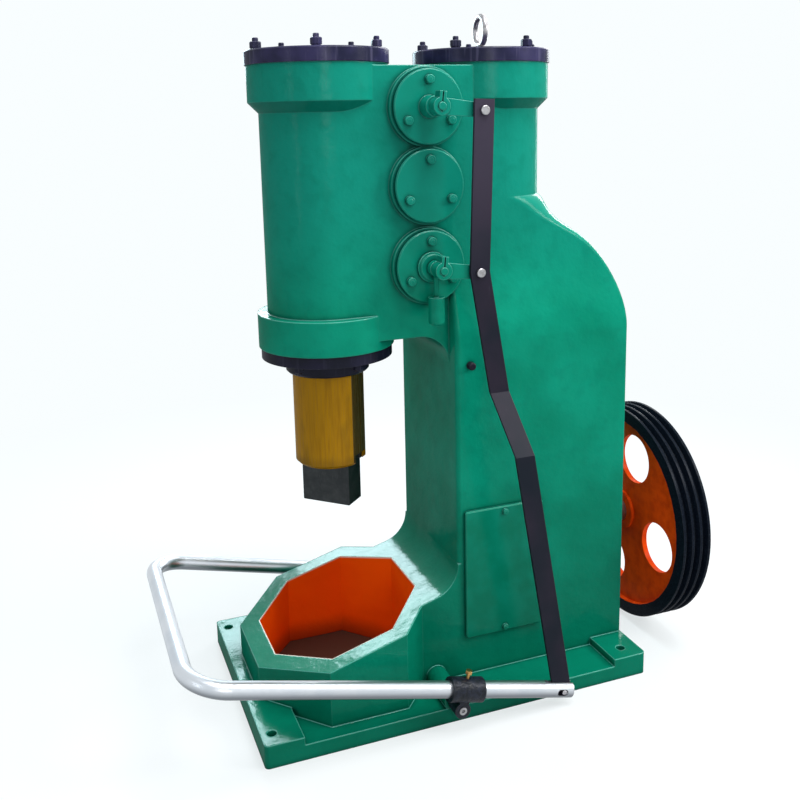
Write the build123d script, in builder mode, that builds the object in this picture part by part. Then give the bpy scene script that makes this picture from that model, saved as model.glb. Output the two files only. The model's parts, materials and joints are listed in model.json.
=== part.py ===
"""Pneumatic forging hammer with a one-piece cast frame, foot treadle and belt pulley.

Millimetres, +Z up, +X towards the pulley, -Y towards the valve gear.
The origin is the centre of the anchor bolt rectangle on the underside of the base.
"""
import os
from math import atan, atan2, cos, degrees, pi, radians, sin, sqrt, tan

from build123d import *

os.makedirs("parts", exist_ok=True)

# Anchor bolts and base plate
bolt_spacing_x = 880.0
bolt_spacing_y = 480.0
anchor_hole_radius = 11.0
bolt_to_front_edge = 25.0
bolt_to_rear_edge = 45.0
bolt_to_side_edge = 42.0
base_thickness = 54.0
base_corner_radius = 10.0
pad_length = 88.0
ledge_drop = 18.0
base_front = -bolt_spacing_x / 2 - bolt_to_front_edge
base_rear = bolt_spacing_x / 2 + bolt_to_rear_edge
base_width = bolt_spacing_y + 2 * bolt_to_side_edge

# Clearances and edges shared by several pieces
seat_clearance = 0.3
end_clearance = 1.0
cut_margin = 1.0
small_edge = 2.0
pin_edge = 1.5

# Working cylinder, compression cylinder and the web between them
ram_to_front_edge = 250.0
cylinder_spacing = 395.0
cylinder_radius = 132.0
collar_radius = 155.0
collar_height = 79.0
collar_chamfer = 23.0
lower_collar_height = 78.0
lid_radius = 158.0
lid_thickness = 31.0
lid_edge = 3.0
total_height = 1500.0
cylinder_length = 653.0
bore_radius = 100.0
web_drop = 7.0
ram_x = base_front + ram_to_front_edge
compression_x = ram_x + cylinder_spacing
collar_top = total_height - lid_thickness
cylinder_foot = total_height - cylinder_length

# Column and crank housing
housing_width = 342.0
throat_depth = 250.0
throat_top_rise = 21.0
throat_top_radius = 70.0
throat_foot_radius = 78.0
shoulder_rise = 3.0
shoulder_radius = 293.0
neck_blend_radius = 90.0
neck_flat = 1.0
flare_drop = 2.5
corner_growth = 5.0
shoulder_steps = 10
edge_radius = 5.0
front_edge_radius = 10.0
foot_depth = 34.0
column_front = ram_x + throat_depth
throat_top = cylinder_foot + throat_top_rise
housing_shoulder = cylinder_foot + shoulder_rise
half_housing = housing_width / 2

# Anvil well
well_half_x = 219.0
well_half_y = 245.0
well_wall = 45.0
well_height = 193.0
rim_slope = 0.285
octagon_share = tan(radians(22.5))

# Ram and die
rod_radius = 82.0
flat_distance = 76.6
flat_angle = -45.0
rod_reach = 281.0
piston_height = 170.0
piston_hollow_radius = 58.0
piston_hollow_depth = 330.0
piston_clearance = 0.1
rod_chamfer = 7.0
die_length = 122.0
die_width = 60.0
die_height = 100.0
dovetail_width = 40.0
dovetail_height = 22.0
dovetail_spread = 5.0
die_key_width = 12.0
die_key_length = 130.0
die_edge = 3.0
rod_bottom = cylinder_foot - rod_reach

# Guide gland under the working cylinder
gland_radius = 150.0
gland_thickness = 26.0
gland_nose_radius = 96.0
gland_nose_depth = 36.0
gland_spigot = 3.0
gland_edge = 4.0
guide_clearance = 0.1

# Valve gear on the near side
upper_valve_drop = 126.0
middle_valve_drop = 294.0
lower_valve_drop = 470.0
cover_radius = 80.0
cover_thickness = 14.0
cover_edge = 2.5
cover_seat_radius = 85.0
cover_seat_height = 15.0
boss_radius = 24.0
boss_length = 34.0
boss_taper = 4.0
lower_boss_radius = 30.0
lower_boss_length = 12.0
spindle_radius = 9.0
spindle_clearance = 0.08
spindle_inside = 20.0
upper_arm_length = 94.4
lower_arm_length = 83.0
arm_droop = 6.0
arm_root_height = 36.0
arm_tip_height = 29.0
arm_thickness = 12.0
hub_radius = 19.0
hub_length = 26.0
clamp_lug_height = 12.0
clamp_lug_width = 15.0
clamp_lug_root = 6.0
clamp_slit = 3.0
bar_gap = 1.0
weight_radius = 18.0
weight_height = 62.0
weight_foot_round = 8.0
weight_rod_radius = 5.5
weight_top_drop = 63.0
weight_collar_radius = 17.0
weight_collar_length = 16.0
weight_collar_gap = 5.0
arm_plane_gap = 54.0
hub_proud = 4.0
spindle_proud = 3.0
valve_x = (ram_x + compression_x) / 2
upper_valve_z = total_height - upper_valve_drop
middle_valve_z = total_height - middle_valve_drop
lower_valve_z = total_height - lower_valve_drop
cover_face = cylinder_radius + cover_seat_height + cover_thickness

# Link bar from the valve arms down to the treadle
bar_width = 45.0
bar_thickness = 8.0
bar_pin_radius = 6.0
bar_pin_clearance = 0.1
upper_hole_clearance = 0.6
bar_top_reach = 23.0
joggle_drop = 96.0
joggle_height = 128.0
bar_pin_head_radius = 10.0
bar_pin_head = 6.0
link_end_radius = 18.0
link_pin_length = 34.0
side_peg_radius = 9.0
side_peg_length = 16.0
side_peg_drop = 47.0
side_peg_inset = 34.0
joggle_top = cylinder_foot - joggle_drop
joggle_foot = joggle_top - joggle_height
side_peg_x = column_front + side_peg_inset
side_peg_z = cylinder_foot - side_peg_drop

# Treadle
treadle_tilt = 13.7
tube_radius = 19.0
tube_wall = 3.0
treadle_front_reach = 621.0
treadle_bend_radius = 85.0
pivot_ahead_of_column = 60.0
treadle_pivot_z = 52.0
pivot_to_tube = 45.0
link_pin_reach = 254.0
tube_end_beyond_pin = 23.0
tube_slot_length = 73.0
tube_slot_clearance = 1.5
link_pin_radius = 6.0
link_slot_travel = 13.0
link_slot_clearance = 1.5

# Treadle clamps and pivots
pivot_boss_radius = 25.0
pivot_boss_inset = 1.0
pivot_pin_radius = 9.0
pivot_pin_inside = 45.0
pivot_clearance = 0.1
pivot_pin_proud = 2.0
pivot_socket_radius = 4.5
pivot_socket_depth = 5.0
clamp_eye_radius = 18.5
clamp_sleeve_radius = 27.5
clamp_sleeve_length = 80.0
clamp_gap = 5.0
clamp_to_tube = 26.0
clamp_eye_length = 38.0
clamp_neck_width = 22.0
thumb_stem_radius = 4.0
thumb_head_radius = 8.0
thumb_head_height = 8.0
thumb_rise = 10.0
treadle_pivot_x = column_front - pivot_ahead_of_column
pivot_boss_end = base_width / 2 - pivot_boss_inset
clamp_start = pivot_boss_end + clamp_gap
treadle_half_width = clamp_start + clamp_to_tube

# Inspection cover
hatch_width = 202.0
hatch_height = 318.0
hatch_thickness = 10.0
hatch_corner = 6.0
hatch_inset = 16.0
hatch_z = 134.0
hatch_x = column_front + hatch_inset

# Crankshaft, bearing housing and belt pulley
shaft_z = 301.0
shaft_radius = 30.0
shaft_clearance = 0.08
shaft_inside = 90.0
bearing_flange_radius = 98.0
bearing_flange = 16.0
bearing_boss_radius = 70.0
bearing_boss = 44.0
bearing_edge = 4.0
pulley_gap = 102.0
pulley_radius = 283.0
pulley_width = 79.0
groove_count = 3
groove_pitch = 24.0
groove_top = 18.0
groove_floor = 10.0
groove_depth = 16.0
rim_thickness = 32.0
web_setback = 13.0
web_thickness = 14.0
hub_boss_radius = 52.0
hub_front_setback = 5.0
hole_circle = 163.0
hole_radius = 64.0
hole_count = 4
hole_turn = 17.0
key_width = 14.0
key_height = 5.0
key_length = 60.0
nut_radius = 38.0
nut_height = 24.0
washer_radius = 46.0
washer_thickness = 5.0
shaft_end_proud = 38.0

# Lifting eyebolt
eye_ring_radius = 32.0
eye_bar_radius = 6.5
eye_collar_radius = 17.0
eye_collar_height = 9.0
eye_turn = 86.0
eye_root = 3.0


def octagon_points(half_x, half_y):
    """Corners of an octagon with its flats square to the machine axes."""
    cut_x = half_x * octagon_share
    cut_y = half_y * octagon_share
    quarter = [(half_x, cut_y), (cut_x, half_y)]
    left = [(-x, y) for x, y in reversed(quarter)]
    upper = quarter + left
    lower = [(-x, -y) for x, y in upper]
    return upper + lower


def finish(piece, label):
    """Name a finished piece and write it to its own file."""
    piece.part.label = label
    export_step(piece.part, f"parts/{label}.step")


# Crank housing and column: upright below, drawn in above to the round of the cylinder
rear_face = base_rear
shoulder_x = rear_face - shoulder_radius
neck_x = compression_x + cylinder_radius
blend_x = neck_x + neck_blend_radius
centre_gap = shoulder_radius + neck_blend_radius
blend_z = housing_shoulder + sqrt(centre_gap**2 - (blend_x - shoulder_x) ** 2)
turn_angle = atan2(blend_z - housing_shoulder, blend_x - shoulder_x)
turn_z = housing_shoulder + shoulder_radius * sin(turn_angle)


def rear_at(level):
    """Where the back of the shoulder stands at a level: a convex arc, then a concave one."""
    if level <= turn_z:
        return shoulder_x + sqrt(shoulder_radius**2 - (level - housing_shoulder) ** 2)
    return blend_x - sqrt(neck_blend_radius**2 - (blend_z - level) ** 2)


def shoulder_section(level):
    """Outline of the shoulder at a level, narrower and with rounder rear corners higher up."""
    share = (level - housing_shoulder) / (blend_z - housing_shoulder)
    flare = (1 - share * share * (3 - 2 * share)) ** flare_drop
    half_width = cylinder_radius + (half_housing - cylinder_radius) * flare
    corner = edge_radius + (cylinder_radius - neck_flat - edge_radius) * share**corner_growth
    rear = rear_at(level)
    with BuildSketch(Plane.XY.offset(level)) as section:
        with Locations(((rear + column_front) / 2, 0)):
            Rectangle(rear - column_front, 2 * half_width)
        fillet(section.vertices().group_by(Axis.X)[-1], corner)
        fillet(section.vertices().group_by(Axis.X)[0], front_edge_radius)
    return section.sketch.face()


with BuildPart() as housing:
    extrude(shoulder_section(housing_shoulder), amount=-housing_shoulder)
    levels = [
        housing_shoulder + (blend_z - housing_shoulder) * step / shoulder_steps
        for step in range(shoulder_steps + 1)
    ]
    loft([shoulder_section(level) for level in levels])

# Frame casting
rim_at_column = well_height + rim_slope * throat_depth
rim_angle = atan(rim_slope)
foot_tangent = throat_foot_radius * tan((pi / 2 - rim_angle) / 2)
rim_start = (
    column_front - foot_tangent * cos(rim_angle),
    rim_at_column - foot_tangent * sin(rim_angle),
)
column_start = (column_front, rim_at_column + foot_tangent)
pad_inner_front = base_front + pad_length
pad_inner_rear = base_rear - pad_length
with BuildPart() as frame_casting:
    # base plate with raised corner pads
    with BuildSketch(Plane.XY):
        with Locations(((base_front + base_rear) / 2, 0)):
            RectangleRounded(base_rear - base_front, base_width, base_corner_radius)
    extrude(amount=base_thickness)
    with BuildSketch(Plane.XY.offset(base_thickness - ledge_drop)):
        with Locations(((pad_inner_front + pad_inner_rear) / 2, 0)):
            Rectangle(pad_inner_rear - pad_inner_front, base_width + 2 * cut_margin)
    extrude(amount=ledge_drop, mode=Mode.SUBTRACT)
    # anvil well, its rim rising towards the column
    with BuildSketch(Plane.XY):
        with Locations((ram_x, 0)):
            Polygon(*octagon_points(well_half_x, well_half_y), align=None)
    extrude(amount=well_height + rim_slope * well_half_x + cut_margin)
    with BuildSketch(Plane.XY):
        with Locations((column_front + foot_depth, 0)):
            Rectangle(throat_depth, housing_width, align=(Align.MAX, Align.CENTER))
    extrude(amount=rim_at_column)
    with BuildSketch(Plane.XZ):
        with BuildLine():
            Polyline(
                (ram_x - 2 * well_half_x, well_height - 2 * rim_slope * well_half_x),
                (column_front, rim_at_column),
                (column_front, total_height),
                (ram_x - 2 * well_half_x, total_height),
                close=True,
            )
        make_face()
    extrude(amount=base_width, both=True, mode=Mode.SUBTRACT)
    # foot of the column swept up from the rim
    with BuildSketch(Plane.XZ):
        with BuildLine():
            Polyline(
                column_start,
                (column_front + foot_depth, rim_at_column + foot_tangent),
                (column_front + foot_depth, rim_at_column - foot_tangent),
                (rim_start[0], rim_at_column - foot_tangent),
                rim_start,
            )
            TangentArc(rim_start, column_start, tangent=(1, rim_slope))
        make_face()
    extrude(amount=half_housing, both=True)
    add(housing.part)
    # two cylinders and the web that joins them
    with BuildSketch(Plane.XY.offset(cylinder_foot)):
        with Locations((ram_x, 0)):
            Circle(cylinder_radius)
    extrude(amount=collar_top - cylinder_foot)
    with BuildSketch(Plane.XY.offset(throat_top)):
        with Locations((compression_x, 0)):
            Circle(cylinder_radius)
    extrude(amount=collar_top - throat_top)
    with BuildSketch(Plane.XY.offset(throat_top)):
        with Locations((valve_x, 0)):
            Rectangle(cylinder_spacing, 2 * cylinder_radius)
    extrude(amount=collar_top - web_drop - throat_top)
    # rounded corner between the web and the column
    with BuildSketch(Plane.XZ):
        with BuildLine():
            Polyline(
                (column_front - throat_top_radius, throat_top),
                (column_front - throat_top_radius, throat_top + foot_depth),
                (column_front + foot_depth, throat_top + foot_depth),
                (column_front + foot_depth, throat_top - throat_top_radius),
                (column_front, throat_top - throat_top_radius),
            )
            RadiusArc(
                (column_front, throat_top - throat_top_radius),
                (column_front - throat_top_radius, throat_top),
                -throat_top_radius,
            )
        make_face()
    extrude(amount=cylinder_radius, both=True)
    # collars at the cylinder ends
    with BuildSketch(Plane.XZ):
        with BuildLine():
            Polyline(
                (ram_x, collar_top),
                (ram_x + collar_radius, collar_top),
                (ram_x + collar_radius, collar_top - collar_height),
                (ram_x + cylinder_radius, collar_top - collar_height - collar_chamfer),
                (ram_x, collar_top - collar_height - collar_chamfer),
                close=True,
            )
        make_face()
    revolve(axis=Axis((ram_x, 0, 0), (0, 0, 1)))
    with BuildSketch(Plane.XZ):
        with BuildLine():
            Polyline(
                (compression_x, collar_top),
                (compression_x + collar_radius, collar_top),
                (compression_x + collar_radius, collar_top - collar_height),
                (compression_x + cylinder_radius, collar_top - collar_height - collar_chamfer),
                (compression_x, collar_top - collar_height - collar_chamfer),
                close=True,
            )
        make_face()
    revolve(axis=Axis((compression_x, 0, 0), (0, 0, 1)))
    with BuildSketch(Plane.XY.offset(cylinder_foot)):
        with Locations((ram_x, 0)):
            Circle(collar_radius)
    extrude(amount=lower_collar_height)
    # seats of the valve covers
    with BuildSketch(Plane.XZ.offset(cylinder_radius - cut_margin)):
        for level in (lower_valve_z, middle_valve_z, upper_valve_z):
            with Locations((valve_x, level)):
                Circle(cover_seat_radius)
    extrude(amount=cover_seat_height + cut_margin)
    # bosses that carry the treadle pivots
    with BuildSketch(Plane.XZ):
        with Locations((treadle_pivot_x, treadle_pivot_z)):
            Circle(pivot_boss_radius)
    extrude(amount=pivot_boss_end, both=True)
    # anvil well, open from rim to floor
    with BuildSketch(Plane.XY):
        with Locations((ram_x, 0)):
            Polygon(*octagon_points(well_half_x - well_wall, well_half_y - well_wall), align=None)
    extrude(amount=rim_at_column, mode=Mode.SUBTRACT)
    # bore of the working cylinder
    with BuildSketch(Plane.XY.offset(cylinder_foot)):
        with Locations((ram_x, 0)):
            Circle(bore_radius)
    extrude(amount=collar_top - cylinder_foot, mode=Mode.SUBTRACT)
    # holes for anchor bolts, pivot pins, spindles and shaft
    with BuildSketch(Plane.XY.rotated((0, 0, 90))):
        with GridLocations(bolt_spacing_y, bolt_spacing_x, 2, 2):
            Circle(anchor_hole_radius)
    extrude(amount=base_thickness, mode=Mode.SUBTRACT)
    for side in (-1, 1):
        with BuildSketch(Plane.XZ.offset(-side * (pivot_boss_end - pivot_pin_inside))):
            with Locations((treadle_pivot_x, treadle_pivot_z)):
                Circle(pivot_pin_radius + seat_clearance)
        extrude(amount=-side * (pivot_pin_inside + cut_margin), mode=Mode.SUBTRACT)
    with BuildSketch(Plane.XZ.offset(cylinder_radius + cover_seat_height - spindle_inside)):
        for level in (lower_valve_z, upper_valve_z):
            with Locations((valve_x, level)):
                Circle(spindle_radius + seat_clearance)
    extrude(amount=spindle_inside + cut_margin, mode=Mode.SUBTRACT)
    with BuildSketch(Plane.YZ.offset(rear_face - shaft_inside)):
        with Locations((0, shaft_z)):
            Circle(shaft_radius + seat_clearance)
    extrude(amount=shaft_inside + cut_margin, mode=Mode.SUBTRACT)
finish(frame_casting, "frame_casting")


def cylinder_lid(centre_x, spigot_radius):
    """Round lid bolted on a cylinder, with a locating spigot where the bore is open."""
    with BuildPart() as lid:
        with BuildSketch(Plane.XY.offset(collar_top)):
            with Locations((centre_x, 0)):
                Circle(lid_radius)
        extrude(amount=lid_thickness)
        chamfer(lid.edges().group_by(Axis.Z)[-1], lid_edge)
        if spigot_radius:
            with BuildSketch(Plane.XY.offset(collar_top)):
                with Locations((centre_x, 0)):
                    Circle(spigot_radius)
            extrude(amount=-lid_thickness / 2)
    return lid


front_lid = cylinder_lid(ram_x, bore_radius - seat_clearance)
finish(front_lid, "front_cylinder_lid")
rear_lid = cylinder_lid(compression_x, 0)
finish(rear_lid, "rear_cylinder_lid")

# Lifting eyebolt in the middle of the rear lid
eye_centre_z = total_height + eye_collar_height + eye_ring_radius + eye_bar_radius - eye_root
eye_plane = Plane(
    origin=(compression_x, 0, eye_centre_z),
    x_dir=(cos(radians(eye_turn)), sin(radians(eye_turn)), 0),
    z_dir=(sin(radians(eye_turn)), -cos(radians(eye_turn)), 0),
)
with BuildPart() as eyebolt:
    with BuildSketch(Plane.XY.offset(total_height)):
        with Locations((compression_x, 0)):
            Circle(eye_collar_radius)
    extrude(amount=eye_collar_height)
    chamfer(eyebolt.edges().group_by(Axis.Z)[-1], small_edge)
    with BuildSketch(Plane(origin=eye_plane.origin, x_dir=eye_plane.x_dir, z_dir=(0, 0, 1))):
        with Locations((eye_ring_radius, 0)):
            Circle(eye_bar_radius)
    revolve(axis=Axis(eye_plane.origin, eye_plane.z_dir))
finish(eyebolt, "lifting_eyebolt")

# Guide gland with flats that keep the ram from turning
with BuildPart() as gland:
    with BuildSketch(Plane.XY.offset(cylinder_foot - gland_thickness)):
        with Locations((ram_x, 0)):
            Circle(gland_radius)
    extrude(amount=gland_thickness)
    with BuildSketch(Plane.XY.offset(cylinder_foot)):
        with Locations((ram_x, 0)):
            Circle(bore_radius - seat_clearance)
    extrude(amount=gland_spigot)
    with BuildSketch(Plane.XY.offset(cylinder_foot - gland_thickness)):
        with Locations((ram_x, 0)):
            Circle(gland_nose_radius)
    extrude(amount=-gland_nose_depth)
    chamfer(gland.edges().group_by(Axis.Z)[0], gland_edge)
    with BuildSketch(Plane.XY.offset(cylinder_foot - gland_thickness - gland_nose_depth)):
        with Locations(Location((ram_x, 0), flat_angle)):
            Circle(rod_radius + guide_clearance)
            Rectangle(
                2 * (flat_distance + guide_clearance),
                2 * cylinder_radius,
                mode=Mode.INTERSECT,
            )
    extrude(amount=gland_thickness + gland_nose_depth + gland_spigot, mode=Mode.SUBTRACT)
finish(gland, "guide_gland")

# Ram: piston, rod with two flats and a dovetail for the die
piston_foot = cylinder_foot + gland_spigot + seat_clearance
die_plane = Plane(
    origin=(ram_x, 0, rod_bottom),
    x_dir=(-sin(radians(flat_angle)), cos(radians(flat_angle)), 0),
    z_dir=(cos(radians(flat_angle)), sin(radians(flat_angle)), 0),
)
with BuildPart() as ram:
    with BuildSketch(Plane.XY.offset(rod_bottom)):
        with Locations((ram_x, 0)):
            Circle(rod_radius)
    extrude(amount=piston_foot - rod_bottom)
    chamfer(ram.edges().group_by(Axis.Z)[0], rod_chamfer)
    with BuildSketch(Plane.XY.offset(rod_bottom)):
        with Locations(Location((ram_x, 0), flat_angle)):
            Rectangle(2 * flat_distance, 4 * rod_radius)
    extrude(amount=piston_foot - rod_bottom, mode=Mode.INTERSECT)
    with BuildSketch(Plane.XY.offset(piston_foot)):
        with Locations((ram_x, 0)):
            Circle(bore_radius - piston_clearance)
    extrude(amount=piston_height)
    with BuildSketch(Plane.XY.offset(piston_foot + piston_height)):
        with Locations((ram_x, 0)):
            Circle(piston_hollow_radius)
    extrude(amount=-piston_hollow_depth, mode=Mode.SUBTRACT)
    with BuildSketch(die_plane):
        with BuildLine():
            Polyline(
                (-dovetail_width / 2, 0),
                (dovetail_width / 2 + die_key_width, 0),
                (dovetail_width / 2 + die_key_width, dovetail_height),
                (-dovetail_width / 2 - dovetail_spread, dovetail_height),
                close=True,
            )
        make_face()
    extrude(amount=2 * rod_radius, both=True, mode=Mode.SUBTRACT)
finish(ram, "ram")

# Upper die with its dovetail, and the key driven in beside it
with BuildPart() as die:
    with BuildSketch(die_plane):
        with Locations((0, -die_height / 2 - seat_clearance)):
            Rectangle(die_width, die_height)
    extrude(amount=die_length / 2, both=True)
    fillet(die.edges().group_by(Axis.Z)[0], die_edge)
    with BuildSketch(die_plane):
        with BuildLine():
            Polyline(
                (-dovetail_width / 2 + seat_clearance, -2 * seat_clearance),
                (dovetail_width / 2, -2 * seat_clearance),
                (dovetail_width / 2 - dovetail_spread / 2, dovetail_height - seat_clearance),
                (-dovetail_width / 2 - dovetail_spread + seat_clearance, dovetail_height - seat_clearance),
                close=True,
            )
        make_face()
    extrude(amount=die_length / 2, both=True)
finish(die, "upper_die")

with BuildPart() as die_key:
    with BuildSketch(die_plane):
        with BuildLine():
            Polyline(
                (dovetail_width / 2 + seat_clearance, seat_clearance),
                (dovetail_width / 2 + die_key_width - seat_clearance, seat_clearance),
                (dovetail_width / 2 + die_key_width - seat_clearance, dovetail_height - seat_clearance),
                (
                    dovetail_width / 2 - dovetail_spread / 2 + seat_clearance,
                    dovetail_height - seat_clearance,
                ),
                close=True,
            )
        make_face()
    extrude(amount=die_key_length / 2, both=True)
finish(die_key, "die_key")


def valve_cover(label, level):
    """Round cover screwed over a valve chamber."""
    with BuildPart() as cover:
        with BuildSketch(Plane.XZ.offset(cylinder_radius + cover_seat_height)):
            with Locations((valve_x, level)):
                Circle(cover_radius)
        extrude(amount=cover_thickness)
        chamfer(cover.edges().group_by(Axis.Y)[0], cover_edge)
        if label == "upper_valve_cover":
            with BuildSketch(Plane.XZ.offset(cover_face)):
                with Locations((valve_x, level)):
                    Circle(boss_radius)
            extrude(amount=boss_length, taper=boss_taper)
        if label == "lower_valve_cover":
            with BuildSketch(Plane.XZ.offset(cover_face)):
                with Locations((valve_x, level)):
                    Circle(lower_boss_radius)
            extrude(amount=lower_boss_length)
            chamfer(cover.edges().group_by(Axis.Y)[0], cover_edge)
        if label != "middle_valve_cover":
            with BuildSketch(Plane.XZ.offset(cylinder_radius)):
                with Locations((valve_x, level)):
                    Circle(spindle_radius + spindle_clearance)
            extrude(amount=cover_face + boss_length - cylinder_radius, mode=Mode.SUBTRACT)
    return cover


finish(valve_cover("upper_valve_cover", upper_valve_z), "upper_valve_cover")
finish(valve_cover("middle_valve_cover", middle_valve_z), "middle_valve_cover")
finish(valve_cover("lower_valve_cover", lower_valve_z), "lower_valve_cover")

# Valve arms: where they stand along Y, and where their pins are
arm_back = cover_face + arm_plane_gap
arm_front = arm_back + arm_thickness
bar_back = arm_front + bar_gap
bar_front = bar_back + bar_thickness
hub_back = arm_front - hub_length + hub_proud
spindle_start = cylinder_radius + cover_seat_height - spindle_inside + end_clearance
spindle_end = hub_back + hub_length + spindle_proud
droop = radians(arm_droop)
upper_pin = (valve_x + upper_arm_length * cos(droop), upper_valve_z - upper_arm_length * sin(droop))
lower_pin = (valve_x + lower_arm_length * cos(droop), lower_valve_z - lower_arm_length * sin(droop))


def valve_spindle(level):
    """Round spindle that turns a valve, with its end showing in the arm's hub."""
    with BuildPart() as spindle:
        with BuildSketch(Plane.XZ.offset(spindle_start)):
            with Locations((valve_x, level)):
                Circle(spindle_radius)
        extrude(amount=spindle_end - spindle_start)
        chamfer(spindle.edges().group_by(Axis.Y)[0], pin_edge)
    return spindle


def valve_arm(level, arm_length):
    """Split clamp hub on the spindle with a tapered arm that drops to the link bar's pin."""
    arm_plane = Plane(
        origin=(valve_x, -hub_back, level),
        x_dir=(cos(droop), 0, -sin(droop)),
        z_dir=(0, -1, 0),
    )
    with BuildPart() as arm:
        with BuildSketch(arm_plane):
            Circle(hub_radius)
            with Locations((0, hub_radius + (clamp_lug_height - clamp_lug_root) / 2)):
                Rectangle(clamp_lug_width, clamp_lug_height + clamp_lug_root)
        extrude(amount=hub_length)
        with BuildSketch(arm_plane.offset(arm_back - hub_back)):
            Polygon(
                (0, arm_root_height / 2),
                (0, -arm_root_height / 2),
                (arm_length, -arm_tip_height / 2),
                (arm_length, arm_tip_height / 2),
                align=None,
            )
            with Locations((arm_length, 0)):
                Circle(arm_tip_height / 2)
        extrude(amount=arm_thickness)
        with BuildSketch(arm_plane):
            Circle(spindle_radius + seat_clearance)
            with Locations((0, hub_radius)):
                Rectangle(clamp_slit, 2 * hub_radius + 2 * clamp_lug_height)
            with Locations((arm_length, 0)):
                Circle(bar_pin_radius + seat_clearance)
        extrude(amount=hub_length, mode=Mode.SUBTRACT)
    return arm


def arm_pin(centre):
    """Pin through an arm's end and the link bar, with a round head outside the bar."""
    with BuildPart() as pin:
        with BuildSketch(Plane.XZ.offset(arm_back)):
            with Locations(centre):
                Circle(bar_pin_radius)
        extrude(amount=bar_front + bar_gap - arm_back)
        with BuildSketch(Plane.XZ.offset(bar_front + bar_gap)):
            with Locations(centre):
                Circle(bar_pin_head_radius)
        extrude(amount=bar_pin_head)
        chamfer(pin.edges().group_by(Axis.Y)[0], pin_edge)
    return pin


for side_name, level, arm_length, pin_centre in (
    ("upper", upper_valve_z, upper_arm_length, upper_pin),
    ("lower", lower_valve_z, lower_arm_length, lower_pin),
):
    finish(valve_spindle(level), f"{side_name}_valve_spindle")
    finish(valve_arm(level, arm_length), f"{side_name}_valve_arm")
    finish(arm_pin(pin_centre), f"{side_name}_arm_pin")

# Counterweight that hangs from a collar on the lower spindle
collar_back = cover_face + lower_boss_length + weight_collar_gap
weight_y = -(collar_back + weight_collar_length / 2)
weight_top_z = lower_valve_z - weight_top_drop
with BuildPart() as counterweight:
    with BuildSketch(Plane.XZ.offset(collar_back)):
        with Locations((valve_x, lower_valve_z)):
            Circle(weight_collar_radius)
    extrude(amount=weight_collar_length)
    with BuildSketch(Plane(origin=(valve_x, weight_y, weight_top_z))):
        Circle(weight_rod_radius)
    extrude(amount=weight_top_drop)
    with BuildSketch(Plane(origin=(valve_x, weight_y, weight_top_z))):
        Circle(weight_radius)
    extrude(amount=-weight_height)
    fillet(counterweight.edges().group_by(Axis.Z)[0], weight_foot_round)
    with BuildSketch(Plane.XZ.offset(collar_back)):
        with Locations((valve_x, lower_valve_z)):
            Circle(spindle_radius + seat_clearance)
    extrude(amount=weight_collar_length, mode=Mode.SUBTRACT)
finish(counterweight, "valve_counterweight")

# Treadle plane: tilted about the pivot, local X runs to the rear along the legs
treadle_turn = radians(treadle_tilt)
tube_start = (
    treadle_pivot_x + pivot_to_tube * sin(treadle_turn),
    treadle_pivot_z + pivot_to_tube * cos(treadle_turn),
)
treadle_plane = Plane(
    origin=(tube_start[0], 0, tube_start[1]),
    x_dir=(cos(treadle_turn), 0, -sin(treadle_turn)),
    z_dir=(sin(treadle_turn), 0, cos(treadle_turn)),
)
link_pin_x = tube_start[0] + link_pin_reach * cos(treadle_turn)
link_pin_z = tube_start[1] - link_pin_reach * sin(treadle_turn)

# Link bar: straight past the arms, then aslant to the treadle with a sideways set.
# The upper arm is the longer one, so the bar's upper hole has play for its pin.
link_pin_centre = (link_pin_x, link_pin_z)
lean = atan2(upper_pin[0] - lower_pin[0], upper_pin[1] - lower_pin[1])
slant = atan2(link_pin_x - lower_pin[0], lower_pin[1] - link_pin_z)
upper_run = (upper_pin[1] - lower_pin[1]) / cos(lean) + bar_top_reach
lower_run = (lower_pin[1] - link_pin_z) / cos(slant)
bar_end_y = -treadle_half_width
with BuildPart() as link_bar:
    with BuildSketch(Plane.XZ):
        with Locations(Location(lower_pin, -degrees(lean))):
            Rectangle(bar_width, upper_run, align=(Align.CENTER, Align.MIN))
        with Locations(Location(lower_pin, degrees(slant))):
            Rectangle(bar_width, lower_run, align=(Align.CENTER, Align.MAX))
        with Locations(lower_pin):
            Circle(bar_width / 2)
        with Locations(link_pin_centre):
            Circle(link_end_radius)
    extrude(amount=2 * base_width)
    with BuildSketch(Plane.YZ.offset(link_pin_x - 2 * bar_width)):
        with BuildLine():
            Polyline(
                (-bar_back, total_height),
                (-bar_back, joggle_top),
                (bar_end_y + bar_thickness / 2, joggle_foot),
                (bar_end_y + bar_thickness / 2, 0),
                (bar_end_y - bar_thickness / 2, 0),
                (bar_end_y - bar_thickness / 2, joggle_foot - bar_thickness / 4),
                (-bar_front, joggle_top - bar_thickness / 4),
                (-bar_front, total_height),
                close=True,
            )
        make_face()
    extrude(amount=2 * base_width, both=True, mode=Mode.INTERSECT)
    with BuildSketch(Plane.XZ):
        with Locations(lower_pin):
            Circle(bar_pin_radius + bar_pin_clearance)
        with Locations(upper_pin):
            Circle(bar_pin_radius + upper_hole_clearance)
        with Locations(link_pin_centre):
            Circle(link_pin_radius + seat_clearance)
    extrude(amount=base_width, mode=Mode.SUBTRACT)
finish(link_bar, "link_bar")

# Pin fixed in the link bar's foot, free in the slotted tube end
with BuildPart() as link_pin:
    with BuildSketch(Plane.XZ.offset(treadle_half_width - link_pin_length / 2)):
        with Locations(link_pin_centre):
            Circle(link_pin_radius)
    extrude(amount=link_pin_length)
    chamfer(link_pin.edges(), pin_edge)
finish(link_pin, "treadle_link_pin")

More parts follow.
